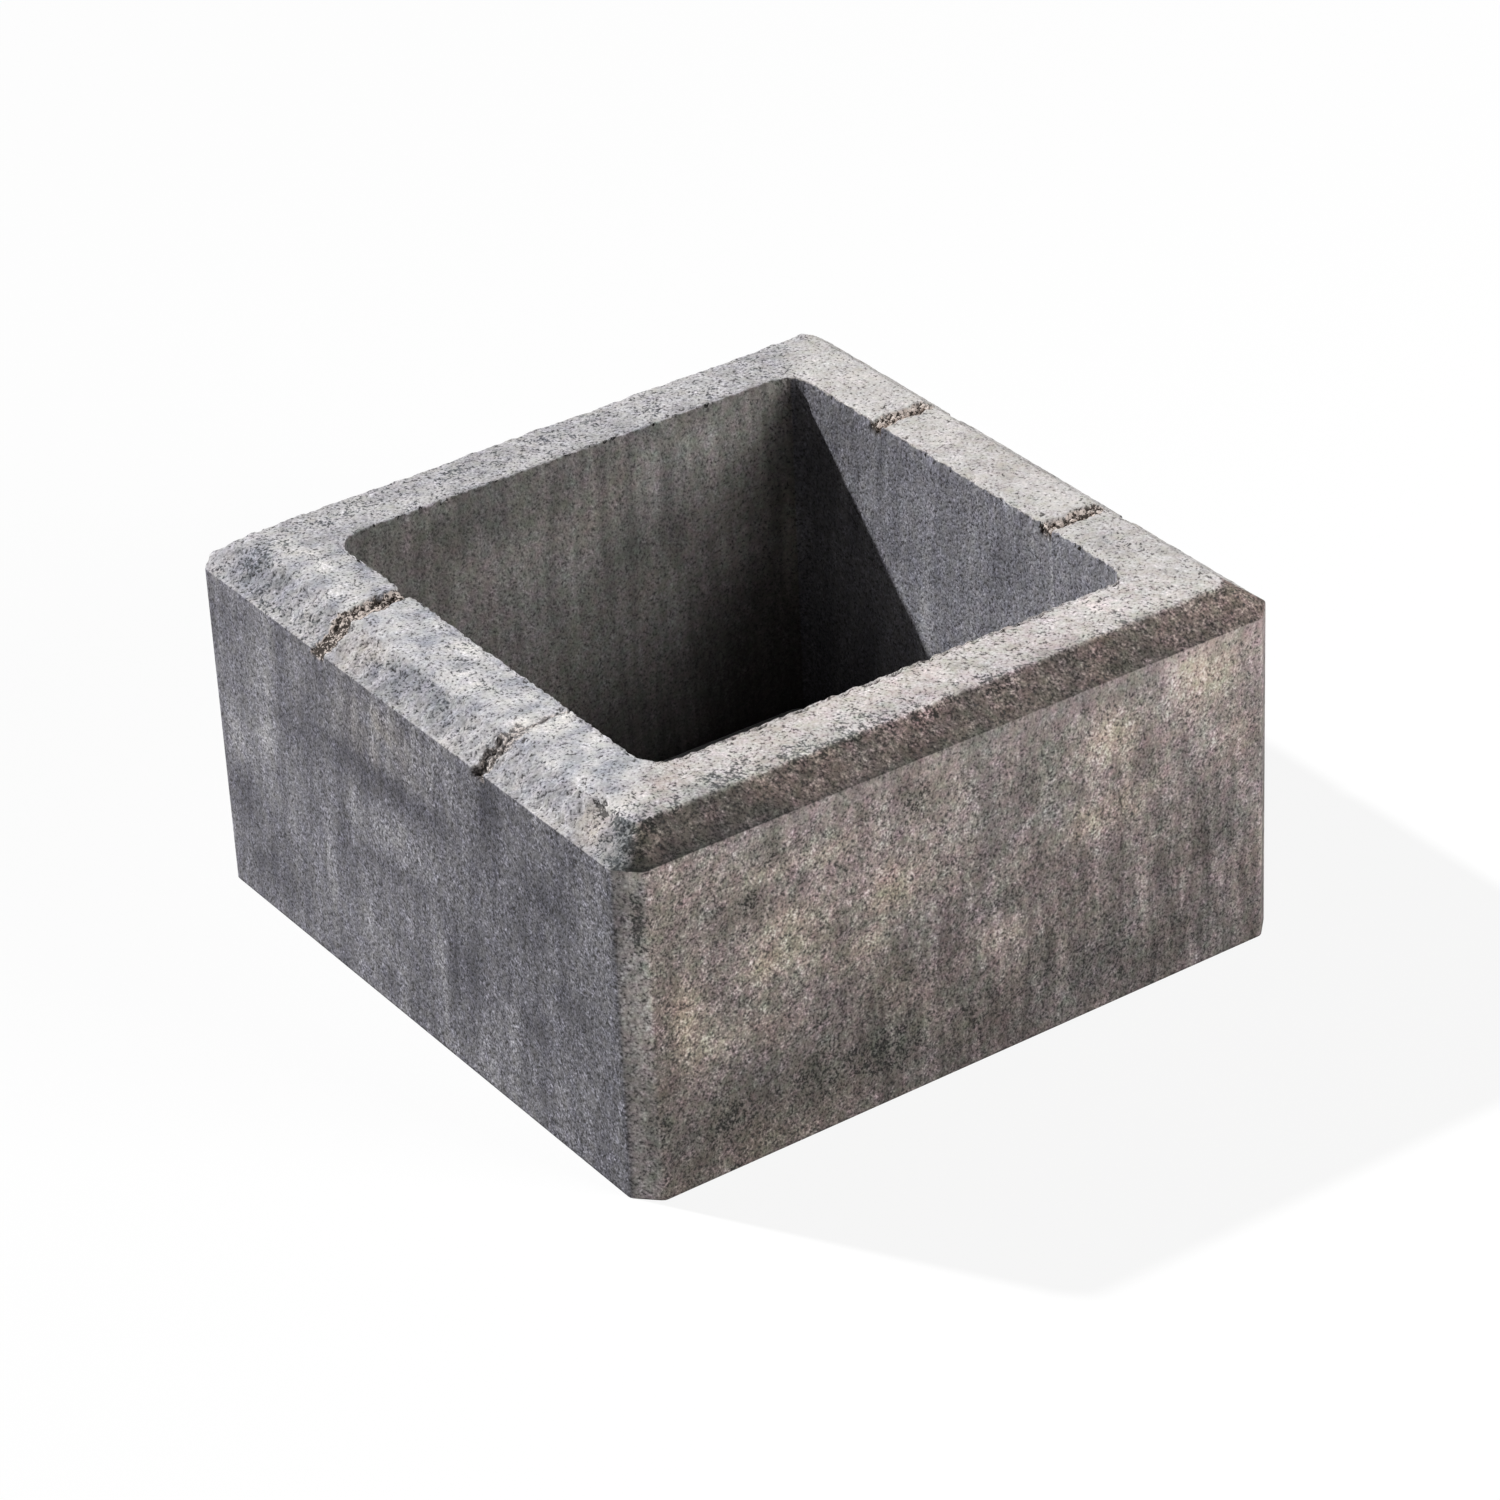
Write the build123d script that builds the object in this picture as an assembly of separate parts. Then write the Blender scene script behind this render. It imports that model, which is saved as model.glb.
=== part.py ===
from build123d import *
from math import atan2, degrees, hypot
import os

# Hollow square pillar block, cast in one piece, lying as it is laid in a course (millimetres)

# Outer body
side = 390.0  # plan length of each outer side
height = 200.0  # height of one course
corner_bevel = 12.0  # bevel of the four upright corners, measured along each side

# Sloped band round the top outer edge
band_run = 18.0  # how far the band reaches in from the outer face
band_drop = 15.0  # how far the band falls below the top

# Hole for the post and its fill
wall = 53.0  # wall thickness at the top
hole_draft = 4.0  # how much thicker each wall is at the bottom, so that the core pulls out
hole_corner_radius = 15.0  # rounding of the four upright corners of the hole

# Break-out grooves, pressed across the two side walls
groove_mouth = 10.0  # width at the surface
groove_floor = 3.0  # width at the bottom
groove_depth = 8.0  # depth below the flat top
groove_band_depth = 4.0  # depth below the sloped band, square to it
groove_spacing = 146.0  # centre to centre along one wall
grooves_per_wall = 2

overrun = 5.0  # how far a cutter runs past the faces that it opens

# Sizes that follow from the ones above
hole_side = side - 2 * wall
hole_taper = degrees(atan2(hole_draft, height))
hole_cutter_side = hole_side + 2 * hole_draft * overrun / height
band_foot = height - band_drop
band_taper = degrees(atan2(band_run, band_drop))
band_slope_length = hypot(band_run, band_drop)


def groove_section(plane, depth):
    """Section of a groove: across it in x, out of the surface in y, with flanks that run on above it."""
    flare = (groove_mouth - groove_floor) / 2 / depth
    half_floor = groove_floor / 2
    half_top = groove_mouth / 2 + flare * overrun
    return plane * Polygon(
        (-half_floor, -depth),
        (half_floor, -depth),
        (half_top, overrun),
        (-half_top, overrun),
        align=None,
    )


# Body: a square prism, drawn in along its sloped band
body = extrude(Rectangle(side, side), amount=band_foot)
body += extrude(Pos(0, 0, band_foot) * Rectangle(side, side), amount=band_drop, taper=band_taper)

# The bevels run up the corners and into the hips of the band
bevelled_outline = chamfer(Rectangle(side, side).vertices(), length=corner_bevel)
body &= extrude(bevelled_outline, amount=height)

# Hole right through, from its mouth at the top down to the narrower bottom
hole_mouth = Plane(origin=(0, 0, height + overrun), z_dir=(0, 0, -1))
hole_outline = hole_mouth * RectangleRounded(hole_cutter_side, hole_cutter_side, hole_corner_radius)
body -= extrude(hole_outline, amount=height + 2 * overrun, taper=hole_taper)

# One groove on the +X wall: level from the hole outwards, then down the sloped band
inner_end = Plane(origin=(hole_side / 2 - overrun, 0, height), x_dir=(0, 1, 0), z_dir=(1, 0, 0))
level_cut = extrude(groove_section(inner_end, groove_depth), amount=wall + 2 * overrun)
band_head = Plane(
    origin=(side / 2 - band_run, 0, height), x_dir=(0, 1, 0), z_dir=(band_run, 0, -band_drop)
)
slope_reach = band_slope_length + groove_band_depth * band_drop / band_run + overrun
slope_cut = extrude(groove_section(band_head, groove_band_depth), amount=slope_reach)
groove = level_cut + slope_cut

# The same groove along both side walls
for place in GridLocations(0, groove_spacing, 1, grooves_per_wall):
    body -= place * groove
    body -= place * mirror(groove, about=Plane.YZ)

os.makedirs("parts", exist_ok=True)
export_step(body, "parts/pillar_block.step")
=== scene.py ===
import math

import bpy
import numpy as np
from mathutils import Matrix, Vector


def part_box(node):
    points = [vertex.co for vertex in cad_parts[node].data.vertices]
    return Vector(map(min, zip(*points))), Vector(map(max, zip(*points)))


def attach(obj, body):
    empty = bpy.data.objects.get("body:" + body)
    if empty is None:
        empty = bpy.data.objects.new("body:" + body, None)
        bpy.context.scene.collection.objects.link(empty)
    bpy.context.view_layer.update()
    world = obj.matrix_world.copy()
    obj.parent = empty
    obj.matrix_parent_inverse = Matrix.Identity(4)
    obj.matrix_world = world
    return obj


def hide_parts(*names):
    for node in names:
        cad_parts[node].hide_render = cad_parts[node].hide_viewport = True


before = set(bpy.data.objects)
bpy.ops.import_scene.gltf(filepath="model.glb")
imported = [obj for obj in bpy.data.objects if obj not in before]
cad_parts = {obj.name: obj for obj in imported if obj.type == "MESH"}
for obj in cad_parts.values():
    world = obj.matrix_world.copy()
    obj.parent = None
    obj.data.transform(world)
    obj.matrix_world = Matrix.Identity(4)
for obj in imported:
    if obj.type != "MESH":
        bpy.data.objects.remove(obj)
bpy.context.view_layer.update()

scene = bpy.context.scene
scene.view_settings.view_transform = "Standard"

# The block's sizes in millimetres, as the solid has them
MM = 1000.0  # millimetres in a metre
BLOCK_HIGH = np.array(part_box("pillar_block")[1]) * MM
HALF, TALL = BLOCK_HIGH[0], BLOCK_HIGH[2]
WALL, DRAFT, HOLE_R = 53.0, 4.0, 15.0  # wall at the top, narrowing of the hole, radius of its corners
RUN, DROP, BEVEL = 18.0, 15.0, 12.0  # sloped band in and down, upright bevels
GROOVE_Y = 73.0  # grooves from the middle of their wall
HOLE = HALF - WALL
STRAIGHT = HOLE - HOLE_R
SLOPE = math.hypot(RUN, DROP)
FOOT = TALL - DROP
HIP = 5.0  # width of the worn hips at the corners of the band

# Seeded noise on arrays of points
WORD, TEN_BITS = 0xFFFFFFFF, 1023
STRIDES = (374761393, 668265263, 1440662683, 974634777)
STIRS = (1274126177, 2246822519)
NOISE_GAIN = 1.5


def lattice(i, seed):
    """A stirred number of 32 bits for each lattice point, from its three indices and the seed."""
    h = i[..., 0] * STRIDES[0] + i[..., 1] * STRIDES[1] + i[..., 2] * STRIDES[2] + seed * STRIDES[3]
    h = h & WORD
    h = ((h ^ (h >> 13)) * STIRS[0]) & WORD
    h = ((h ^ (h >> 16)) * STIRS[1]) & WORD
    return h ^ (h >> 15)


def three_shares(h):
    """Three values of 0 to 1 out of the bits of each lattice number."""
    return np.stack([h & TEN_BITS, (h >> 10) & TEN_BITS, (h >> 20) & TEN_BITS], -1) / TEN_BITS


def noise(p, size, seed):
    """Gradient noise of about -1 to 1; size is the width of a lump, or one width for each axis."""
    p = p / np.asarray(size, float)
    base = np.floor(p).astype(np.int64)
    f = p - base
    w = f * f * f * (f * (f * 6 - 15) + 10)
    out = np.zeros(len(p))
    for corner in np.ndindex(2, 2, 2):
        c = np.array(corner)
        slope = 2 * three_shares(lattice(base + c, seed)) - 1
        out += ((f - c) * slope).sum(-1) * np.where(c, w, 1 - w).prod(-1)
    return out * NOISE_GAIN


def fbm(p, size, seed, octaves=3):
    size = np.asarray(size, float)
    return sum(noise(p, size / 2 ** k, seed + 17 * k) / 2 ** k for k in range(octaves))


def cells(p, size, seed):
    """Distance to the nearest seeded point, in cell widths, and a value of 0 to 1 for that point."""
    p = p / size
    base = np.floor(p).astype(np.int64)
    near = np.full(len(p), 9.0)
    value = np.zeros(len(p))
    for step in np.ndindex(3, 3, 3):
        cell = base + np.array(step) - 1
        at = cell + three_shares(lattice(cell, seed))
        d = np.linalg.norm(p - at, axis=-1)
        closer = d < near
        near = np.where(closer, d, near)
        value = np.where(closer, (lattice(cell, seed + 7) & TEN_BITS) / TEN_BITS, value)
    return near, value


def smooth(a, b, x):
    t = np.clip((x - a) / (b - a), 0, 1)
    return t * t * (3 - 2 * t)


def bump(x, width):
    return np.exp(-(x / width) ** 2)


# Columns of the mesh: places round the ring, closer together at the grooves
STRAIGHT_COLS, GROOVE_COLS, CORNER_COLS = 187, 27, 73
GROOVE_REACH = 9.0  # on each side of a groove's middle
CORNER = np.linspace(0, 1, CORNER_COLS + 2)[1:-1]
FINE = 801  # places along a corner while it is softened
SOFT = 1.1  # how far its edges are softened


def straight_places(grooved):
    places = list(np.linspace(-STRAIGHT, STRAIGHT, STRAIGHT_COLS))
    if grooved:
        places = [s for s in places if min(abs(s - GROOVE_Y), abs(s + GROOVE_Y)) > GROOVE_REACH + 0.5]
        for centre in (-GROOVE_Y, GROOVE_Y):
            places += list(centre + np.linspace(-GROOVE_REACH, GROOVE_REACH, GROOVE_COLS))
    return np.array(sorted(places))


def bevelled_corner(half, bevel):
    """Corner of an outline, from the end of its straight part, round the softened bevel, to the next side."""
    knots = np.array([[STRAIGHT, half], [half - bevel, half], [half, half - bevel], [half, STRAIGHT]])
    fine = np.linspace(0, 1, FINE)
    run = np.r_[0, np.cumsum(np.linalg.norm(np.diff(knots, axis=0), axis=1))]
    at = np.stack([np.interp(fine * run[-1], run, knots[:, k]) for k in (0, 1)], 1)
    width = SOFT / run[-1] * (FINE - 1)
    reach = int(3 * width)
    weight = np.exp(-0.5 * (np.arange(-reach, reach + 1) / width) ** 2)
    weight /= weight.sum()
    ahead = at[:1] + (at[:1] - at[reach:0:-1])
    after = at[-1:] + (at[-1:] - at[-2:-reach - 2:-1])
    at = np.stack([np.convolve(np.r_[ahead, at, after][:, k], weight, "valid") for k in (0, 1)], 1)
    return np.stack([np.interp(CORNER, fine, at[:, k]) for k in (0, 1)], 1)


def rounded_corner(radius):
    a = np.radians(90) * CORNER
    return np.stack([STRAIGHT + radius * np.sin(a), STRAIGHT + radius * np.cos(a)], 1)


def ring(half, corner):
    """Points round the ring in plan, one for each column, from the front wall round to the left wall."""
    out = []
    for k in range(4):
        turn = math.radians(90 * k)
        along = np.array([math.cos(turn), math.sin(turn)])
        away = np.array([math.sin(turn), -math.cos(turn)])
        out.append(straight_places(k in (1, 3))[:, None] * along + half * away)
        out.append(corner[:, :1] * along + corner[:, 1:] * away)
    return np.concatenate(out)


def outer_ring(inset):
    half = HALF - inset
    return ring(half, bevelled_corner(half, max(BEVEL - 2 * inset, HIP)))


def hole_ring(inset):
    return ring(HOLE - inset, rounded_corner(HOLE_R - inset))


def outward(points):
    t = np.roll(points, -1, 0) - np.roll(points, 1, 0)
    n = np.stack([t[:, 1], -t[:, 0]], 1)
    return n / np.linalg.norm(n, axis=1, keepdims=True)


mouth, face_plan, rim_plan = hole_ring(0.0), outer_ring(0.0), outer_ring(RUN)
COLS = len(mouth)
mouth_n, face_n = outward(mouth), outward(face_plan)
level = np.zeros((COLS, 1))

# Radius of the crumbled edge of the hole
crumb_r = 0.9 + 0.4 * noise(np.c_[mouth, level], 9.0, 3) + 1.6 * noise(np.c_[mouth, level], 3.4, 5)
crumb_r = np.clip(crumb_r, 0.3, 2.6)

# Rows of the mesh: up the hole, over the top, down the band and the outer face, and back underneath
INSIDE, TOP, BAND, FACE, UNDER = range(5)
HOLE_HEIGHTS = (0, 12, 30, 54, 80, 106, 132, 154, 170, 180, 186, 190, 192.6, 194.6)
EDGE_TURNS = (0, 30, 60)
TOP_SHARES = np.r_[0, 0.025, np.linspace(0.06, 0.97, 23)]
BAND_INSETS = np.r_[np.linspace(RUN, 1.1, 16), 0.5, 0.15]
FACE_DROPS = (0.4, 1.1, 2.1, 3.4, 5.2, 8, 12, *np.linspace(18, FOOT - 5, 17), FOOT - 1.5, FOOT)
UNDER_SHARES = (0.05, 0.5, 0.95)
rows, zones, ups, outs, ins, reach_out = [], [], [], [], [], []


def row(plan, z, zone, up, out, inn, from_mouth):
    """One row of points, its zone, its direction as shares, and how far it lies out from the hole's edge."""
    rows.append(np.c_[plan, np.broadcast_to(z, COLS)])
    zones.append(np.full(COLS, zone))
    ups.append(up)
    outs.append(out)
    ins.append(inn)
    reach_out.append(np.broadcast_to(from_mouth, COLS).astype(float))


for z in HOLE_HEIGHTS:
    row(hole_ring(DRAFT * (1 - z / TALL)), z, INSIDE, 0, 0, 1, z - TALL)
for turn in EDGE_TURNS:
    b = math.radians(turn)
    plan = mouth + mouth_n * (crumb_r * (1 - math.cos(b)))[:, None]
    row(plan, TALL - crumb_r * (1 - math.sin(b)), INSIDE, math.sin(b), 0, math.cos(b), 0)
span = np.linalg.norm(rim_plan - mouth, axis=1)
across = (rim_plan - mouth) / span[:, None]
for m in TOP_SHARES:
    d = crumb_r + m * (span - crumb_r)
    row(mouth + across * d[:, None], TALL, TOP, 1, 0, 0, d)
for inset in BAND_INSETS:
    run_down = (RUN - inset) / RUN
    away = span + SLOPE * run_down
    row(outer_ring(inset), TALL - DROP * run_down, BAND, RUN / SLOPE, DROP / SLOPE, 0, away)
for below in FACE_DROPS:
    row(face_plan, FOOT - below, FACE, 0, 1, 0, span + SLOPE + below)
for m in UNDER_SHARES:
    row(face_plan + (hole_ring(DRAFT) - face_plan) * m, 0.0, UNDER, 0, 0, 0, 0)
ROWS = len(rows)

# Places, zones, distances and directions of all points
P = np.stack(rows)
zone = np.stack(zones)
is_inside, is_top, is_band, is_face, is_under = ((zone == k).astype(float) for k in range(5))
on_crown = is_top + is_band
flat = P.reshape(-1, 3)
from_mouth = np.stack(reach_out)
from_rim = from_mouth - span[None]
from_arris = from_rim - SLOPE
band_share = smooth(-4.0, 4.0, from_rim) * on_crown
up, out, inn = (np.array(v, float)[:, None, None] for v in (ups, outs, ins))
z_axis = np.broadcast_to(np.array([0.0, 0.0, 1.0]), P.shape)
face_out = np.broadcast_to(np.c_[face_n, level][None], P.shape)
hole_out = np.broadcast_to(np.c_[mouth_n, level][None], P.shape)
band_out = (face_out * DROP + z_axis * RUN) / SLOPE
normal = z_axis * up + face_out * out - hole_out * inn
crown_n = z_axis * (1 - band_share[..., None]) + band_out * band_share[..., None]
crown_n = crown_n / np.linalg.norm(crown_n, axis=-1, keepdims=True)
normal = np.where(on_crown[..., None] > 0, crown_n, normal)


def field(values):
    return values.reshape(ROWS, COLS)


def wander(size, seed, octaves=3):
    return field(fbm(flat, size, seed, octaves))


# Which wall a point belongs to, with borders that are softer on the top
X, Y, Z = P[..., 0], P[..., 1], P[..., 2]
border = 1.0 + 16.0 * is_top + 6.0 * is_band


def belongs(a, b):
    return smooth(-1, 1, (a - np.abs(b)) / border)


round_hip = 11.0 * is_band * smooth(0.0, 120.0, X) * smooth(0.0, -120.0, Y)
front, back = belongs(-Y + round_hip, X), belongs(Y, X)
left, right = belongs(-X, Y), belongs(X - round_hip, Y)
sides = front + back + left + right
front, back, left, right = (s / sides for s in (front, back, left, right))


def by_wall(f, b, l, r):
    return f * front + b * back + l * left + r * right


# Surface wear, always inwards so that the block keeps its box
CALM = 0.22  # roughness of the top
BAND_ROUGH, RIM_WEAR, ARRIS_WEAR = (0.25, 0.7, 1.6, 0.4), (0.6, 0.5, 1.4, 0.2), (0.25, 0.8, 0.5, 0.8)
lumps, big_lumps = wander(6.5, 11), wander(15.0, 17, 2)
swell, grit = wander(44.0, 23, 2), wander(2.6, 31, 2)
near, value = (field(v) for v in cells(flat, 5.0, 41))
near = near + 0.16 * wander(2.4, 43, 1)
pit_share = 0.34 + 0.5 * bump(np.hypot(X + 181, Y - 153), 16.0)
pits = smooth(0.5, 0.1, near) * smooth(1 - pit_share, 1.02 - pit_share * 0.5, value)
pits *= smooth(-0.3, 0.5, wander(26.0, 47, 2))
rough = on_crown * (CALM + (by_wall(*BAND_ROUGH) - CALM) * smooth(-9.0, 6.0, from_rim))
wear = rough * (0.9 + 0.9 * lumps + 0.7 * big_lumps + 0.6 * grit) + on_crown * (0.30 + 0.40 * swell)
wear += pits * on_crown * (0.7 + 1.7 * (rough - CALM))
wear += bump(from_rim, 6.5) * on_crown * by_wall(*RIM_WEAR) * (1 + 0.7 * big_lumps)
wear *= smooth(0.0, -3.5, from_arris)
edge_crumbs = np.clip(0.7 + 3.0 * wander(4.4, 53, 2), 0, 3.0)
wear += bump(from_mouth, 2.4) * is_top * edge_crumbs
arris = bump(from_arris, 1.3) * (is_band + is_face) * np.clip(0.2 + 0.5 * wander(6.0, 59, 2), 0.05, 1.0)
arris *= by_wall(*ARRIS_WEAR)
wear += arris * is_band

# The chipped spot and the fallen corner at the front left: place and reach of each chip
CHIP_DEPTH = 3.4
CHIPS = ((-177.8, -147.0, 2.8), (-174.8, -150.2, 3.0), (-179.6, -151.6, 2.6), (-179.3, -155.2, 2.1))
crater = sum(smooth(1.2, 0.5, np.hypot(X - at_x, Y - at_y) / reach) for at_x, at_y, reach in CHIPS)
crater = np.minimum(crater * (1 + 0.8 * wander(3.0, 61, 1)), 1.0)
wear += crater * on_crown * CHIP_DEPTH
fallen = bump(X + 184, 9.0) * bump(Y + 184, 11.0) * np.maximum(1.4 + 2.0 * lumps, 0.0)
wear += fallen * on_crown

# Ragged grooves: wall, place along it, half width, depths on the way out, crack, crumbs, raw colour, tone
GROOVES = (
    (-1, 74.0, 6.4, (5.0, 5.0, 4.2, 2.6), 0.0, 0.60, 1.0, -0.20),
    (-1, -72.5, 5.4, (0.4, 0.7, 5.0, 6.5), 1.6, 0.25, 0.7, -0.21),
    (1, 68.5, 5.4, (4.2, 3.4, 3.2, 2.8), 2.2, 0.80, 1.0, 0.14),
    (1, -75.7, 5.4, (4.8, 3.4, 3.2, 2.8), 2.2, 0.80, 1.0, 0.12),
)
DEPTHS_AT = (0, 0.4, 0.75, 1.0)
groove, raw_share, tones = (np.zeros((ROWS, COLS)) for k in range(3))
way = np.clip(from_mouth, 0, None) / (WALL - RUN + SLOPE)
crumb_near, crumb_size = (field(v) for v in cells(flat, 3.8, 121))
crumbs = smooth(0.72, 0.25, crumb_near) * (0.35 + 0.65 * crumb_size)
for seed, (wall_x, at_y, half_width, depths, crack, crumb_share, raw, tone) in enumerate(GROOVES):
    on_wall = smooth(120.0, 135.0, wall_x * X) * (1 - is_under)
    sway = field(noise(flat * [1, 0, 1], 15.0, 70 + seed)) * 1.5
    wide = half_width * (1 + 0.22 * wander(7.0, 80 + seed, 1) + 0.35 * wander(3.0, 84 + seed, 1))
    deep = np.interp(way, DEPTHS_AT, depths)
    off = (Y - at_y - sway) / wide
    cut = smooth(1.0, 0.75, np.abs(off)) * deep * (1 - crumb_share * crumbs)
    slit = bump(off - 0.25 * wander(6.0, 88 + seed, 2), 0.16) * crack * smooth(1.0, 0.8, way)
    groove += (cut + slit) * on_wall * (1 + 0.35 * wander(3.0, 90 + seed, 1))
    about = on_wall * (np.abs(Y - at_y) < 12)
    raw_share += raw * about
    tones += tone * about
in_groove = smooth(0.4, 1.4, groove)

# Points moved in by the wear and the grooves
shift = np.maximum(wear, 0.0) * (1 - in_groove) + groove
move = -normal * (shift * on_crown)[..., None]
move[..., 2] -= groove * smooth(-30.0, 0.0, from_mouth) * is_inside
mouth_wear = edge_crumbs * smooth(-4.0, 0.0, from_mouth) * is_inside
move += hole_out * (mouth_wear * 0.5)[..., None]
last_band = np.where(zone[:, 0] == BAND)[0][-1]
notch = groove[last_band] * smooth(4.5, 0.0, from_arris + 1.5 * wander(3.0, 97, 2))
worn_face = notch + arris * 0.5 + fallen * smooth(9.0, 0.0, from_arris)
move -= band_out * (worn_face * is_face)[..., None]
place = P + move

# Colour patches: place along the wall and height, or x and y on the top, then half sizes and strength
FRONT_DARK = (
    (-190, 165, 8, 10, 0.8), (-113, 170, 5, 4, 1.0), (-127, 142, 10, 9, 1.0), (-27, 165, 12, 8, 0.9),
    (36, 146, 18, 11, 0.5), (95, 178, 22, 7, 0.3), (24, 88, 12, 7, 0.9), (132, 70, 17, 8, 0.9),
    (166, 72, 16, 8, 0.5), (-25, 72, 14, 11, 0.5), (-90, 65, 12, 10, 0.35), (-45, 30, 22, 18, 0.9),
    (-92, 34, 26, 18, 0.8), (-145, 30, 25, 20, 0.7), (2, 25, 16, 20, 0.7), (50, 30, 30, 24, 0.4),
    (120, 25, 45, 22, 0.5), (20, 118, 14, 10, 0.3), (-182, 40, 8, 16, 0.6),
)
FRONT_CREAM = (
    (-155, 173, 20, 8, 0.2), (90, 154, 18, 15, 1.0), (-104, 126, 20, 11, 0.8), (-116, 109, 20, 8, 0.9),
    (-45, 118, 20, 14, 0.8), (-70, 92, 30, 5, 0.7), (72, 112, 10, 8, 0.7), (100, 111, 24, 6, 0.8),
    (-166, 95, 10, 20, 0.7), (-140, 76, 26, 15, 0.6), (24, 102, 18, 5, 0.7), (25, 68, 26, 6, 0.5),
    (-95, 157, 40, 6, 0.5), (145, 168, 30, 18, 1.0), (165, 125, 14, 18, 0.4), (-115, 8, 30, 7, 0.6),
)
LEFT_DARK = (
    (20, 134, 52, 7, 1.2), (-120, 141, 26, 8, 0.7), (-148, 88, 20, 9, 0.7), (-98, 115, 18, 16, 0.4),
    (-50, 60, 22, 20, 0.6), (-112, 60, 20, 14, 0.6), (165, 60, 26, 16, 0.7), (148, 24, 32, 15, 0.6),
    (110, 128, 26, 9, 0.4), (60, 76, 11, 16, 0.5), (30, 14, 10, 8, 0.5), (172, 162, 24, 20, 0.5),
    (-85, 170, 14, 20, 0.6), (-20, 84, 50, 5, 0.3), (-74, 170, 4, 15, 1.0), (73, 168, 4, 18, 0.6),
)
LEFT_PALE = (
    (135, 150, 9, 26, 0.6), (137, 107, 12, 11, 0.9), (165, 92, 12, 16, 0.8), (132, 74, 10, 10, 0.5),
    (20, 106, 46, 13, 0.6), (80, 60, 5, 34, 0.6), (46, 42, 5, 32, 0.6), (2, 48, 5, 22, 0.4),
    (-24, 58, 5, 24, 0.6), (-88, 42, 7, 24, 0.5), (-60, 8, 40, 6, 0.5), (-172, 130, 8, 40, 0.5),
    (20, 164, 46, 11, 0.4), (-150, 40, 14, 14, 0.4),
)
TOP_DARK = (
    (-115, -170, 50, 6, 0.7), (-35, -170, 26, 6, 0.7), (30, -174, 20, 5, 0.3), (120, -174, 40, 4, 0.4),
    (-155, -28, 9, 16, 0.5), (-186, 8, 8, 45, 0.4), (-187, 120, 8, 36, 0.5), (-182, -120, 10, 30, 0.3),
    (-60, 165, 110, 10, 0.3), (160, -108, 12, 14, 0.8), (-172, -174, 13, 9, 0.8), (-181, -12, 6, 18, 0.6),
    (-187, 32, 3, 4, 0.9), (-186, 15, 3, 4, 0.8), (-158, -4, 6, 10, 0.4), (-175, 92, 9, 8, 0.4),
    (-80, -172, 10, 7, 0.6), (60, -173, 12, 6, 0.6), (-182, 154, 18, 18, 0.6), (-160, 112, 14, 26, 0.3),
    (-132, -163, 13, 7, 0.7), (-44, -166, 13, 7, 0.6),
)
TOP_CREAM = (
    (0, -150, 130, 10, 0.5), (125, -158, 40, 16, 0.6), (162, 40, 20, 60, 0.5), (162, -45, 20, 20, 0.5),
    (-182, 50, 9, 18, 0.8), (-178, -152, 12, 12, 0.3), (-100, -158, 40, 7, 0.3),
    (160, 120, 16, 20, 0.3), (-163, -66, 10, 4, 1.5), (-184, 58, 8, 8, 0.6), (-168, -148, 16, 6, 0.3),
    (14, -163, 18, 9, 0.7),
)
TOP_BLUSH = (
    (-186, -156, 9, 15, 1.4), (-155, -152, 22, 12, 0.8), (-184, 52, 9, 16, 1.0), (-40, -150, 60, 10, 0.5),
)


def patches(u, v, table):
    out = 0.0
    for at_u, at_v, half_u, half_v, amount in table:
        out = out + amount * bump(u - at_u, half_u) * bump(v - at_v, half_v)
    return out


# Shares by wall, in the order front, back, left and right
CROWN_SOOT, CROWN_DARK = (-0.16, 0.02, -0.10, -0.44), (0.35, 0.5, 0.65, 0.5)
HOLE_DRAWN, HOLE_STREAKS = (0.5, 0.4, 0.5, 0.45), (1.3, 1.8, 1.3, 1.3)
FACE_WARM, HOLE_WARM, CROWN_WARM = (1.0, 0.3, 0.0, 0.7), (0.6, 0.9, 0.5, 0.12), (0.65, 0.15, 0.2, 0.3)
HOLE_GRAIN, CROWN_GRAIN = (0.62, 0.53, 0.62, 0.80), (0.80, 0.87, 0.77, 0.62)
BAND_GRAIN = (0.1, 0.1, -0.06, 0.1)
CROWN_BLUE, CROWN_RED = (0.01, 0.06, 0.10, 0.02), (0.08, 0.02, 0.05, 0.02)
FACE_SKIN, HOLE_SKIN, BAND_SKIN = (1.2, 0.6, 0.55, 1.0), (0.8, 0.9, 0.8, 0.45), (0.4, 0.4, 0.25, 0.4)

# Slow noises: drift of the patches, clouds, blots, and streaks drawn down the walls with a slight lean
LEAN, DRAWN_OUT = 0.14, 0.12
drift_a, drift_b = 4.0 * wander(24.0, 101, 2), 4.0 * wander(24.0, 107, 2)
cloud, blots = wander((70, 70, 40), 113), wander(17.0, 117, 3)
drawn_at = np.c_[flat[:, 0], flat[:, 1] + flat[:, 2] * LEAN, flat[:, 2] * DRAWN_OUT]
drawn = field(fbm(drawn_at, 12.0, 119, 2))


def light_and_dark(u, v, light, dark):
    return patches(u + drift_b, v + drift_a, light), patches(u + drift_a, v + drift_b, dark)


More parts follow.
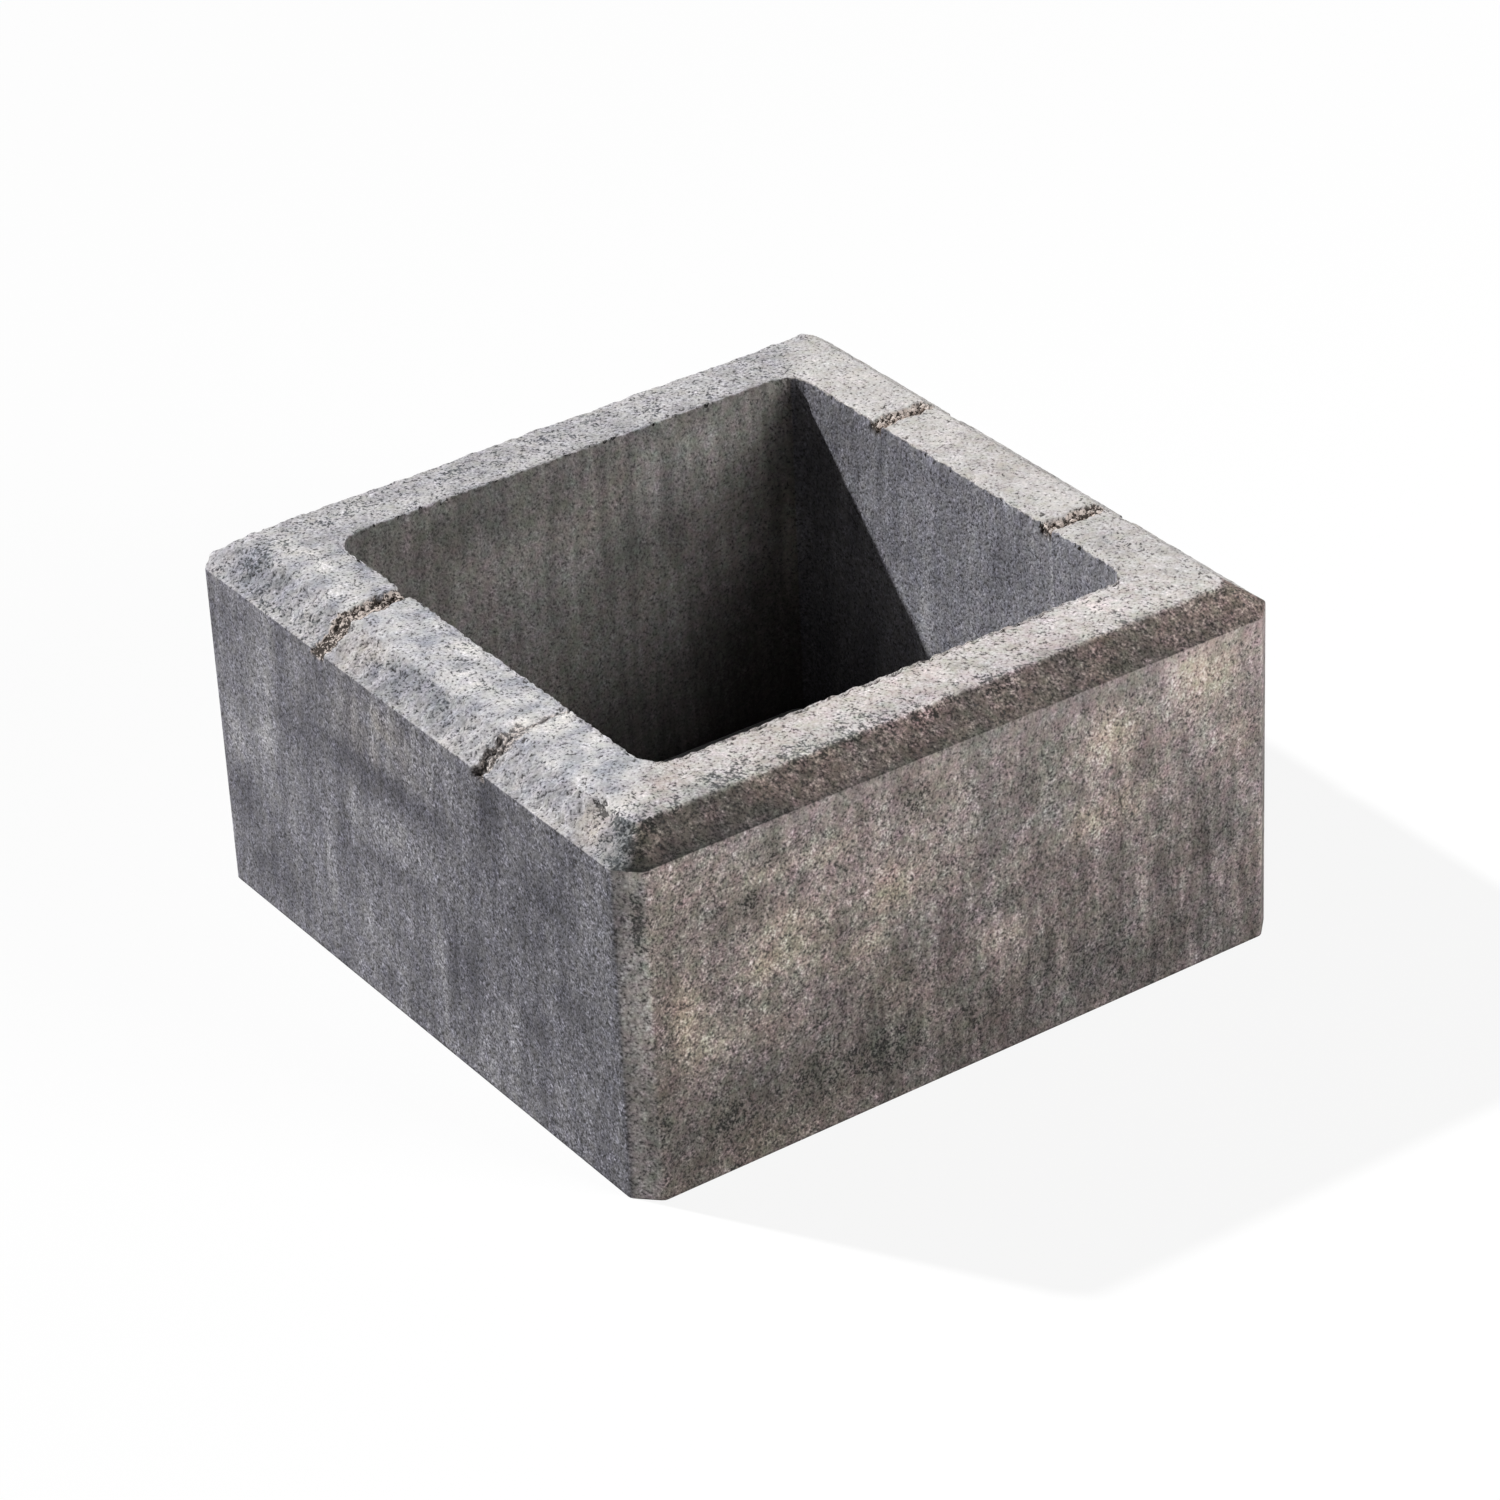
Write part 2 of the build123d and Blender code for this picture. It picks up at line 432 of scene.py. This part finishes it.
# Parts of the surface, and the patches on them
on_front, on_left = is_face * front, is_face * left
far_faces = is_face - on_front - on_left
front_band = smooth(0.3, 0.7, front) * is_band
crown = on_crown * (1 - front_band)
elsewhere = 1 - on_front - on_left - on_crown
streaky = smooth(-150.0, -10.0, X)
low_front = smooth(150.0, 60.0, Z)
low_right = smooth(-20.0, 70.0, X) * smooth(110.0, 40.0, Z)
cream, charcoal = light_and_dark(X, Z, FRONT_CREAM, FRONT_DARK)
pale, dusky = light_and_dark(Y, Z, LEFT_PALE, LEFT_DARK)
top_cream, top_dark = light_and_dark(X, Y, TOP_CREAM, TOP_DARK)

# The thin score line inside the hole, painted as a light line with painted shade beside it
off_score = Y + 79 + 0.06 * (TALL - Z) + 0.8 * wander(9.0, 127, 1)
score_light_and_shade = bump(off_score, 0.9) - 1.2 * bump(off_score + 1.9, 1.0)
score_light_and_shade = 0.6 * score_light_and_shade * is_inside * right * smooth(140.0, 160.0, Z)

# Soot: how thick the dark specks lie
SOOT_MOST = 0.62
rim_soot = (front_band + is_top * front) * bump(from_rim, 8.0)
rim_soot = rim_soot * np.clip(0.75 * smooth(170, -60, X) + 1.6 * blots, 0, 1.6)
hip_soot = is_band * bump((X - Y + 3) / 1.4, 10.0) * smooth(-120.0, -160.0, X)
corner_pits = bump(np.hypot(X + 184 + 2 * drift_a, Y - 155 + 2 * drift_b), 15.0)
soot = on_crown * (1 + by_wall(*CROWN_SOOT) - 0.20 * front_band + 0.6 * top_dark) - 1
soot += on_crown * (0.6 * rim_soot + 0.45 * blots + 0.7 * hip_soot + 0.3 * corner_pits)
soot = np.minimum(soot, SOOT_MOST + 0.2 * hip_soot)
face_soot = on_front * np.clip(0.72 + 0.9 * charcoal + 0.35 * blots - 0.3 * cream, 0.0, 1.6)
face_soot += far_faces * right * np.clip(0.4 + 0.6 * blots - 0.8 * cloud, 0.0, 1.3)
soot += face_soot * smooth(-2.0, 12.0, from_arris)

# Patch: one scale from dark to light
band_shade = 0.25 * smooth(-2.5, -0.5, from_arris)
band_shade += 0.4 * smooth(60.0, -20.0, X) * smooth(-6.0, -1.0, from_arris)
band_shade += 0.9 * smooth(-90.0, -115.0, X) * smooth(-14.0, -4.0, from_arris)
drawn_share = on_left * 0.5 + far_faces * 0.5 + on_front * (0.38 + 0.17 * streaky)
drawn_share += is_inside * by_wall(*HOLE_DRAWN)
blot_share = crown * by_wall(0.32, 0.3, 0.95 - 0.5 * band_share, 0.37) + front_band * 0.45
blot_share += on_front * 0.25 + on_left * 0.2 + far_faces * 0.3
cloud_share = (elsewhere + 0.4 * far_faces + front_band + 0.4 * crown) * 0.55
patch = on_front * (cream - 0.85 * charcoal) + on_left * 1.05 * (pale - dusky)
patch += crown * (0.35 * top_cream - by_wall(*CROWN_DARK) * top_dark)
patch += drawn_share * drawn + blot_share * blots + cloud_share * cloud + score_light_and_shade
patch -= front_band * band_shade + on_crown * 0.75 * hip_soot + crown * 0.15 * corner_pits

# Ground colours of the walls: front, back, left and right
FACE_GROUND = ((0.221, 0.190, 0.179), (0.212, 0.205, 0.213), (0.201, 0.196, 0.217), (0.212, 0.192, 0.184))
# The near bevel is paler than the faces: partly its own colour, partly painted light standing in for light
# the lamps don't give it
BEVEL_GROUND_AND_PAINTED_LIGHT = (0.366, 0.337, 0.327)
HOLE_GROUND = ((0.140, 0.132, 0.126), (0.212, 0.200, 0.189), (0.185, 0.178, 0.172), (0.302, 0.297, 0.332))
TOP_GROUND = ((0.535, 0.492, 0.478), (0.485, 0.470, 0.482), (0.603, 0.587, 0.603), (0.596, 0.558, 0.540))
BAND_GROUND = ((0.148, 0.123, 0.111), (0.450, 0.441, 0.452), (0.485, 0.470, 0.487), (0.585, 0.552, 0.535))
UNDER_GROUND = (0.270, 0.260, 0.255)


def by_wall_colour(colours):
    return sum(wall[..., None] * np.array(c) for wall, c in zip((front, back, left, right), colours))


# The ground colours put together, with the worn bevel at the near corner, whose paler colour is partly its
# own and partly painted light
near_corner = is_face * smooth(HALF - BEVEL - 0.5, HALF - BEVEL + 2, np.minimum(-X, -Y))
patch -= near_corner * (0.45 * bump(Z - 157, 18.0) + 0.25 * bump(Z - 62, 14.0) - 0.5 * bump(Z - 105, 30.0))
soot += near_corner * (0.75 * bump(Z - 152, 18.0) + 0.4 * bump(Z - 62, 12.0))
bevel = near_corner[..., None]
band_colour = smooth(-2.5, 2.5, from_rim)[..., None]
lip = smooth(0.2, 0.6, up) * is_inside[..., None]
face_colour = by_wall_colour(FACE_GROUND) * (1 - bevel) + np.array(BEVEL_GROUND_AND_PAINTED_LIGHT) * bevel
# The hole's walls grow darker towards the bottom: painted shade
hole_colour_with_painted_shade = by_wall_colour(HOLE_GROUND) * (0.32 + 0.68 * smooth(0.0, 115.0, Z))[..., None]
crown_colour = by_wall_colour(TOP_GROUND) * (1 - band_colour) + by_wall_colour(BAND_GROUND) * band_colour
ground = is_face[..., None] * face_colour + (is_inside[..., None] - lip) * hole_colour_with_painted_shade
ground += lip * by_wall_colour(TOP_GROUND) + on_crown[..., None] * crown_colour
ground += is_under[..., None] * np.array(UNDER_GROUND)
# Slow changes: the left face darker towards the front; the front face darker towards the bottom as painted
# shade, and a little lighter to the right
slow_tone_and_painted_shade = on_left * 0.21 * np.clip(Y / HALF, -1, 1)
slow_tone_and_painted_shade += on_front * (0.20 * np.clip((Z - 90) / 90, -1, 1) + 0.06 * X / HALF)
ground *= 1 + slow_tone_and_painted_shade[..., None]

# Warm walls have stronger hues, and the hues lean with the patches
warm = is_face * np.maximum(by_wall(*FACE_WARM), 0.6 * near_corner)
warm += is_inside * by_wall(*HOLE_WARM) + on_crown * by_wall(*CROWN_WARM) + 0.35 * front_band
bluer = (1 - on_crown) * 0.05 * (1 - warm) + on_crown * by_wall(*CROWN_BLUE)
redder = on_crown * by_wall(*CROWN_RED)
rosy, yellow = wander(38.0, 131, 2), wander(38.0, 137, 2)
creamy, sooty = np.clip(cream, 0, 1), np.clip(charcoal, 0, 1)
front_blue = on_front * (0.02 * X / HALF - 0.13 * creamy - 0.05 * sooty)
front_red = on_front * (0.035 * creamy - 0.05 * sooty)
ground[..., 2] *= 1 - bluer * patch + front_blue + 0.05 * warm * yellow
ground[..., 0] *= 1 + redder * patch + front_red + 0.06 * warm * rosy

# Local tones: the top's far left, blush, the sooty hip, rust on the left; painted light and shade in the hole
BLUSH_HUE, RUST_HUE = (0.05, 0.0, -0.05), (0.06, 0.0, -0.10)
ground *= 1 - (is_top * left * 0.12 * smooth(60.0, 140.0, Y))[..., None]
blush = crown * patches(X + drift_b, Y + drift_a, TOP_BLUSH)
ground *= 1 + blush[..., None] * np.array(BLUSH_HUE)
ground[..., 2] *= 1 - 0.10 * on_crown * hip_soot
rusty = on_left * bump(Y - 22, 34.0) * bump(Z - 160, 18.0) * (0.6 + blots)
ground *= 1 + rusty[..., None] * np.array(RUST_HUE)
# Painted light and shade in the hole: the back wall lighter low down on the left and darker low down on the
# right, lighter towards the right across it, and the right wall darker towards the back corner
painted_hole_light_and_shade = is_inside * back * smooth(115.0, 60.0, Z) * (0.85 * smooth(45.0, 95.0, X) - 0.35)
painted_hole_light_and_shade += is_inside * back * (0.12 - 0.22 * smooth(-70.0, 30.0, X))
painted_hole_light_and_shade += is_inside * right * 0.35 * smooth(40.0, 120.0, Y)
ground *= 1 - painted_hole_light_and_shade[..., None]

# Strength of the grain and of the fine relief
under_band = on_front * smooth(22.0, 3.0, from_arris) * smooth(-175.0, -90.0, X)
grain = is_face * by_wall(0.95 - 0.16 * X / HALF, 0.8, 0.98 - 0.24 * Y / HALF, 0.9)
grain += is_inside * by_wall(*HOLE_GRAIN) + is_under * 0.8
grain += on_crown * (by_wall(*CROWN_GRAIN) + 0.38 * front_band + by_wall(*BAND_GRAIN) * band_share)
grain *= 1 - 0.3 * near_corner - 0.4 * under_band
skin = is_face * by_wall(*FACE_SKIN) + is_inside * by_wall(*HOLE_SKIN) + is_under * 0.8
skin += on_crown * (0.45 + by_wall(*BAND_SKIN) * band_share)
skin *= 1 - 0.5 * near_corner

# The mesh, closed round the ring and round the section
index = np.arange(ROWS * COLS).reshape(ROWS, COLS)
next_col, next_row = np.roll(index, -1, 1), np.roll(index, -1, 0)
quads = np.stack([index, next_col, np.roll(next_col, -1, 0), next_row], -1).reshape(-1, 4)
mesh = bpy.data.meshes.new("cast_block")
mesh.from_pydata((place.reshape(-1, 3) / MM).tolist(), [], quads.tolist())
mesh.update()
mesh.polygons.foreach_set("use_smooth", np.ones(len(quads), bool))

# Values on the mesh that drive the material
groove_zone = on_crown + is_inside * smooth(-5.0, -2.0, from_mouth) + is_face * smooth(4.5, 2.0, from_arris)
# Pits, the chipped crater and the pitted corner, which the material fills with painted shade
hollows = (0.7 + 0.4 * corner_pits) * pits + crater + 0.2 * corner_pits
front_streaks = 1.1 + (0.4 + 1.2 * low_front) * streaky + 1.7 * low_right
face_streaks = by_wall(front_streaks, 1.2, 1.4, 1.1)
LAYERS = {
    "patch": patch,
    "grain": grain,
    "warm": warm,
    "groove": raw_share * in_groove * groove_zone,
    "pits": np.clip(hollows * on_crown, 0, 1),
    # In the hole, the grooves' ends take the painted shade of the gaps
    "crumbs": crumbs + tones - 1.2 * is_inside,
    "streaks": is_face * face_streaks + is_inside * by_wall(*HOLE_STREAKS) + front_band,
    "soot": soot,
    "skin": skin,
}
for name, values in LAYERS.items():
    layer = mesh.attributes.new(name, "FLOAT", "POINT")
    layer.data.foreach_set("value", np.ascontiguousarray(values, np.float32).ravel())
rgba = np.concatenate([ground, np.ones((ROWS, COLS, 1))], -1).astype(np.float32)
layer = mesh.attributes.new("ground", "FLOAT_COLOR", "POINT")
layer.data.foreach_set("color", rgba.ravel())

# Flat layout for baking: a quarter of the picture for each wall, with the section up the page
WALL_COLS = COLS // 4
GUTTER = 0.01
step_up = np.linalg.norm(np.diff(np.r_[P, P[:1]], axis=0), axis=-1).mean(1)
up_section = np.r_[0, np.cumsum(step_up)] / step_up.sum()
quad_row, quad_col = (k.ravel() for k in np.mgrid[0:ROWS, 0:COLS])
wall_of = np.minimum(quad_col // WALL_COLS, 3)
flat_u = (quad_col - wall_of * WALL_COLS)[:, None] + np.array([0, 1, 1, 0])
flat_u = (wall_of % 2)[:, None] * 0.5 + GUTTER + (0.5 - 2 * GUTTER) * flat_u / (COLS - 3 * WALL_COLS)
flat_v = up_section[quad_row[:, None] + np.array([0, 0, 1, 1])]
flat_v = (wall_of // 2)[:, None] * 0.5 + GUTTER + (0.5 - 2 * GUTTER) * flat_v
layout = mesh.uv_layers.new(name="OFBake")
layout.data.foreach_set("uv", np.stack([flat_u, flat_v], -1).astype(np.float32).ravel())

block = bpy.data.objects.new("cast_block", mesh)
scene.collection.objects.link(block)
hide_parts("pillar_block")
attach(block, "root")


class Graph:
    """Short ways to add nodes to a tree and to link them."""

    def __init__(self, tree):
        self.tree = tree

    def add(self, kind, settings=None, **inputs):
        made = self.tree.nodes.new(kind)
        for key, setting in (settings or {}).items():
            setattr(made, key, setting)
        for key, given in inputs.items():
            self.feed(made.inputs[key.replace("_", " ")], given)
        return made

    def feed(self, socket, given):
        if isinstance(given, bpy.types.NodeSocket):
            self.tree.links.new(given, socket)
        else:
            socket.default_value = given

    def math(self, operation, a, b=0.0):
        made = self.add("ShaderNodeMath", {"operation": operation})
        self.feed(made.inputs[0], a)
        self.feed(made.inputs[1], b)
        return made.outputs[0]

    def total(self, *terms):
        out = terms[0]
        for term in terms[1:]:
            out = self.math("ADD", out, term)
        return out

    def times(self, a, b):
        return self.math("MULTIPLY", a, b)

    def vector(self, operation, a, b):
        made = self.add("ShaderNodeVectorMath", {"operation": operation})
        self.feed(made.inputs[0], a)
        self.feed(made.inputs[1], b)
        return made.outputs[0]

    def remap(self, given, low, high, to_low=0.0, to_high=1.0):
        made = self.add("ShaderNodeMapRange", {"interpolation_type": "SMOOTHSTEP"}, Value=given, From_Min=low,
                        From_Max=high, To_Min=to_low, To_Max=to_high)
        return made.outputs["Result"]

    def mix(self, share, a, b, blend="MIX"):
        made = self.add("ShaderNodeMix", {"data_type": "RGBA", "blend_type": blend})
        self.feed(made.inputs["Factor"], share)
        for name, given in (("A", a), ("B", b)):
            target = [s for s in made.inputs if s.name == name and s.type == "RGBA"][0]
            self.feed(target, given if isinstance(given, bpy.types.NodeSocket) else (*given, 1.0))
        return [s for s in made.outputs if s.type == "RGBA"][0]

    def noise(self, where, size, detail, roughness):
        made = self.add("ShaderNodeTexNoise", {"noise_dimensions": "3D"}, Vector=where, Scale=MM / size,
                        Detail=detail, Roughness=roughness)
        return made.outputs["Fac"]

    def spread(self, given, gain):
        """Noise of 0 to 1 about its middle, widened."""
        return self.times(self.math("SUBTRACT", given, 0.5), gain)

    def layer(self, name, output="Fac"):
        return self.add("ShaderNodeAttribute", {"attribute_name": name}).outputs[output]

    def seen(self):
        """1 for the camera and for what mirrors or passes it on, 0 for the light that falls on the block."""
        path = self.add("ShaderNodeLightPath").outputs
        passed_on = self.math("MAXIMUM", path["Is Glossy Ray"], path["Is Transmission Ray"])
        return self.math("MAXIMUM", path["Is Camera Ray"], passed_on)


# Concrete: widths of its noises in millimetres, colours, and where its light spots level off
STRIPE_MM, CLOUD_MM, RELIEF_MM, SAND_MM = 5.0, 7.0, 3.0, 1.5
STRIPE_OUT = 0.08
TURNED = (0.61, 0.43, 0.87)  # noises turned away from the block's axes
# Pits and the gaps between the grooves' crumbs are filled with painted shade
PIT_SHADE_COLOUR, GAP_SHADE_COLOUR, CRUMB_COLOUR = (0.080, 0.076, 0.074), (0.080, 0.066, 0.058), (0.72, 0.627, 0.573)
LEVEL_FROM, LEVEL_SHARE = 0.56, 0.45
CONTRAST = 0.62


def concrete():
    """Bare pressed concrete: patchy ground colours, grain of every size, grit, pores and mould streaks, with
    painted shade in the pits and between the grooves' crumbs.
    """
    mat = bpy.data.materials.new("concrete")
    mat.use_nodes = True
    g = Graph(mat.node_tree)
    bsdf = mat.node_tree.nodes["Principled BSDF"]
    coords = g.add("ShaderNodeTexCoord").outputs["Object"]
    where = g.add("ShaderNodeMapping", Vector=coords, Rotation=TURNED).outputs[0]
    patch, grain, warm, groove, pits, crumbs, streaks, soot, skin = (g.layer(name) for name in LAYERS)
    ground = g.layer("ground", "Color")
    cool = g.math("SUBTRACT", 1.0, warm)

    # Streaks run down the walls, and lean a little on the cool ones
    axes = g.add("ShaderNodeSeparateXYZ", Vector=coords)
    lean = g.times(g.times(axes.outputs["Z"], cool), LEAN)
    drawn = g.add("ShaderNodeCombineXYZ", X=axes.outputs["X"], Y=g.math("ADD", axes.outputs["Y"], lean),
                  Z=g.times(axes.outputs["Z"], STRIPE_OUT))
    stripe = g.remap(g.noise(drawn.outputs[0], STRIPE_MM, 1.0, 0.7), 0.25, 0.75, -1.0, 1.0)

    # Grain of three widths
    cloudy = g.add("ShaderNodeTexNoise", {"noise_dimensions": "3D"}, Vector=where, Scale=MM / CLOUD_MM,
                   Detail=1.0, Roughness=0.8)
    hue = g.add("ShaderNodeSeparateColor", Color=cloudy.outputs["Color"])
    mottle = g.spread(cloudy.outputs["Fac"], 2.8)
    sand = g.noise(where, SAND_MM, 1.0, 0.95)
    relief = g.noise(where, RELIEF_MM, 1.0, 0.8)

    # Light grit, thicker in the cream patches, and dark pores, thicker in the charcoal ones
    speck = g.math("ADD", sand, g.spread(relief, 0.5))
    grit = g.remap(g.math("ADD", speck, g.times(patch, 0.06)), 0.60, 0.71)
    pores = g.remap(g.math("ADD", speck, g.times(patch, 0.04)), 0.40, 0.29)

    # One scale from charcoal through the ground colour to cream, with grain that comes and goes
    coarse = g.times(mottle, g.math("ADD", 0.42, g.times(warm, 0.25)))
    keen = g.total(0.9, g.times(patch, 0.25), g.spread(hue.outputs["Blue"], 2.5))
    keen = g.math("MAXIMUM", 0.35, keen)
    fine = g.times(g.math("ADD", g.spread(sand, 3.1), g.spread(relief, 1.5)), keen)
    glint = g.math("ADD", 0.1, g.times(g.math("MINIMUM", streaks, 1.0), 0.18))
    flecks = g.math("SUBTRACT", g.times(grit, glint), g.times(pores, 1.1))
    clumps = g.math("SUBTRACT", soot, g.times(mottle, 0.6))
    dust = g.remap(g.math("SUBTRACT", clumps, g.spread(speck, 2.1)), 0.3, 0.9)
    all_grain = g.times(g.total(coarse, fine, flecks), grain)
    all_stripes = g.times(g.times(stripe, streaks), 0.14)
    step = g.total(patch, all_grain, all_stripes, g.times(dust, -1.3))
    bright = g.math("EXPONENT", g.times(step, CONTRAST))

    # Hues of the grain, and light spots that level off
    rosy, bluish = g.spread(hue.outputs["Green"], 1.0), g.spread(hue.outputs["Blue"], 0.21)
    reds = g.total(1.0, g.times(rosy, g.math("ADD", 0.05, g.times(warm, 0.37))), g.times(dust, -0.06))
    blues = g.total(1.0, bluish, g.times(g.times(rosy, warm), 0.27), g.times(g.times(dust, cool), 0.05))
    tint = g.add("ShaderNodeCombineColor", Red=g.times(bright, reds), Green=bright,
                 Blue=g.times(bright, blues))
    colour = g.mix(1.0, ground, tint.outputs[0], "MULTIPLY")
    over = g.vector("MAXIMUM", g.vector("SUBTRACT", colour, (LEVEL_FROM,) * 3), (0.0,) * 3)
    colour = g.vector("SUBTRACT", colour, g.vector("MULTIPLY", over, (LEVEL_SHARE,) * 3))

    # Pits darkened with painted shade, and the raw inside of the grooves: light crumbs with painted shade in
    # the gaps between them
    holes = g.remap(g.math("SUBTRACT", pits, g.spread(speck, 2.0)), 0.35, 0.65, 0.0, 0.85)
    colour = g.mix(holes, colour, PIT_SHADE_COLOUR)
    raw = g.mix(g.remap(g.total(crumbs, g.spread(speck, 4.2)), 0.06, 0.44), GAP_SHADE_COLOUR, CRUMB_COLOUR)
    colour = g.mix(groove, colour, raw)

    g.feed(bsdf.inputs["Base Color"], colour)
    g.feed(bsdf.inputs["Roughness"], g.remap(relief, 0.3, 0.7, 0.97, 0.85))
    height = g.times(g.math("ADD", relief, g.times(sand, 0.6)), skin)
    bumpy = g.add("ShaderNodeBump", Strength=1.0, Distance=0.001, Height=height)
    g.feed(bsdf.inputs["Normal"], bumpy.outputs[0])
    bsdf.inputs["Specular IOR Level"].default_value = 0.25
    return mat


mesh.materials.append(concrete())

# Floor and world: white to the camera, pale to the light, and plain under the hole
FLOOR_REACH = 30.0
FLOOR_LIT, FLOOR_SEEN, FLOOR_GLOW = (0.70, 0.70, 0.70), (0.95, 0.95, 0.95), 0.88
SKY_LIGHT = 0.02
corners = [(sx * FLOOR_REACH, sy * FLOOR_REACH, 0) for sx, sy in ((-1, -1), (1, -1), (1, 1), (-1, 1))]
floor_mesh = bpy.data.meshes.new("floor")
floor_mesh.from_pydata(corners, [], [(0, 1, 2, 3)])
floor = bpy.data.objects.new("floor", floor_mesh)
scene.collection.objects.link(floor)


def floor_white():
    mat = bpy.data.materials.new("floor_white")
    mat.use_nodes = True
    g = Graph(mat.node_tree)
    paint = mat.node_tree.nodes["Principled BSDF"]
    paint.inputs["Roughness"].default_value = 1.0
    paint.inputs["Specular IOR Level"].default_value = 0.0
    glow = g.add("ShaderNodeEmission", Strength=1.0)
    spot = g.add("ShaderNodeSeparateXYZ", Vector=g.add("ShaderNodeNewGeometry").outputs["Position"])
    under_wall = (HOLE + 0.5 * WALL) / MM
    off_middle = g.math("MAXIMUM", *(g.math("ABSOLUTE", spot.outputs[axis]) for axis in ("X", "Y")))
    seen = g.times(g.seen(), g.math("GREATER_THAN", off_middle, under_wall))
    g.feed(paint.inputs["Base Color"], g.mix(seen, FLOOR_LIT, FLOOR_SEEN))
    both = g.add("ShaderNodeMixShader", Fac=g.times(seen, FLOOR_GLOW))
    g.feed(both.inputs[1], paint.outputs[0])
    g.feed(both.inputs[2], glow.outputs[0])
    g.feed(mat.node_tree.nodes["Material Output"].inputs[0], both.outputs[0])
    return mat


floor_mesh.materials.append(floor_white())

world = bpy.data.worlds.new("studio")
scene.world = world
world.use_nodes = True
air = Graph(world.node_tree)
sky = world.node_tree.nodes["Background"]
sky.inputs["Color"].default_value = (1, 1, 1, 1)
air.feed(sky.inputs["Strength"], air.math("ADD", air.times(air.seen(), 1 - SKY_LIGHT), SKY_LIGHT))

# Key light from behind on the left, large soft light from the front right
KEY_FROM, KEY_STRENGTH, KEY_WIDTH = (-0.392, 0.654, 0.647), 3.7, math.radians(2.0)
FILL_FROM, FILL_WATTS, FILL_SIZE, FILL_AWAY = (0.412, -0.824, 0.387), 62.0, 1.5, 3.0
AIM = Vector((0, 0, 0.1))


def lamp(name, kind, energy, toward, away=0.0):
    light = bpy.data.lights.new(name, kind)
    light.energy = energy
    holder = bpy.data.objects.new(name, light)
    toward = Vector(toward).normalized()
    holder.location = AIM + toward * away
    holder.rotation_euler = toward.to_track_quat("Z", "Y").to_euler()
    scene.collection.objects.link(holder)
    return light


lamp("key", "SUN", KEY_STRENGTH, KEY_FROM).angle = KEY_WIDTH
lamp("fill", "AREA", FILL_WATTS, FILL_FROM, FILL_AWAY).size = FILL_SIZE

# Camera, fitted to the photograph
CAM_AT = (-1.32163, -1.99239, 1.53031)
CAM_RIGHT = (0.81624, -0.576102, -0.043121)
CAM_DOWN = (-0.328294, -0.40113, -0.855171)
CAM_AHEAD = (0.475368, 0.712181, -0.516549)
cam = bpy.data.cameras.new("camera")
cam.lens = 132.0747
cam.sensor_width = 36.0
cam.sensor_fit = "HORIZONTAL"
cam.clip_end = 200
cam_ob = bpy.data.objects.new("camera", cam)
scene.collection.objects.link(cam_ob)
turned = [(CAM_RIGHT[k], -CAM_DOWN[k], -CAM_AHEAD[k], CAM_AT[k]) for k in range(3)]
cam_ob.matrix_world = Matrix(turned + [(0, 0, 0, 1)])
scene.camera = cam_ob

bpy.context.view_layer.update()
